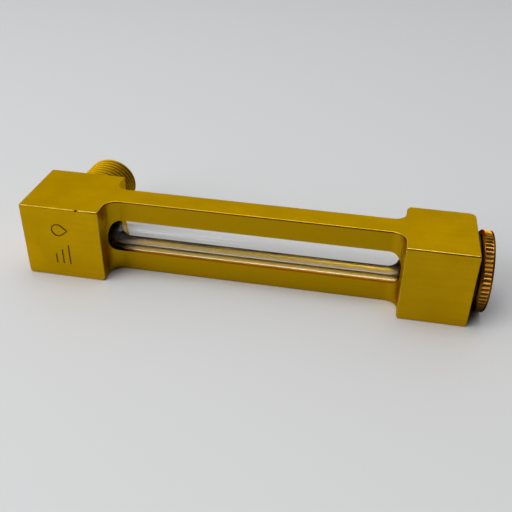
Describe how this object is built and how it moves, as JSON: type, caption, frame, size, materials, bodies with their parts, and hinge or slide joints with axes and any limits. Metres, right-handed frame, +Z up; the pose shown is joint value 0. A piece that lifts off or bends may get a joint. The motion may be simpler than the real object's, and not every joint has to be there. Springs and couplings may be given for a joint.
{
  "type": "column oil sight gauge",
  "caption": "Column oil sight gauge: milled square brass bar with a glass tube in a long window, a threaded pipe nipple on one side and a knurled filler plug at the end.",
  "frame": {"origin": "the pipe nipple's axis where it meets the rear face of the lower block", "axes": "+X along the bar from the lower block to the filler plug, +Y out of the open end of the nipple, +Z up from the flat underside that the gauge lies on"},
  "size_m": [0.1092, 0.034, 0.019],
  "materials": {
    "body_brass": "satin, yellow-dipped brass with faint milling marks",
    "nipple_brass": "satin, machined",
    "plug_brass": "tarnished to a coppery brown, bright on the knurl",
    "tube_glass": "clear, fire-polished",
    "seal_rubber": "matt black",
    "fibre": "matt red vulcanised fibre"
  },
  "bodies": {
    "gauge": {"gauge_body": "body_brass", "pipe_nipple": "nipple_brass", "lower_seat_washer": "fibre", "lower_tube_seal": "seal_rubber", "sight_tube": "tube_glass", "upper_tube_seal": "seal_rubber", "upper_seat_washer": "fibre", "gland_ring": "nipple_brass"},
    "gasket": {"plug_gasket": "seal_rubber"},
    "plug": {"filler_plug": "plug_brass"}
  },
  "joints": [
    {"name": "plug_lift", "type": "slide", "parent": "gauge", "child": "gasket", "axis": [1, 0, 0], "range_m": [0, 0.00636]},
    {"name": "plug_turn", "type": "hinge", "parent": "gasket", "child": "plug", "pos_m": [0.09575, -0.00953, 0], "axis": [1, 0, 0], "range_deg": [0, 1800]}
  ],
  "couplings": [
    {"joint": "plug_lift", "follows": "plug_turn", "m_per_rad": 0.00020213}
  ]
}
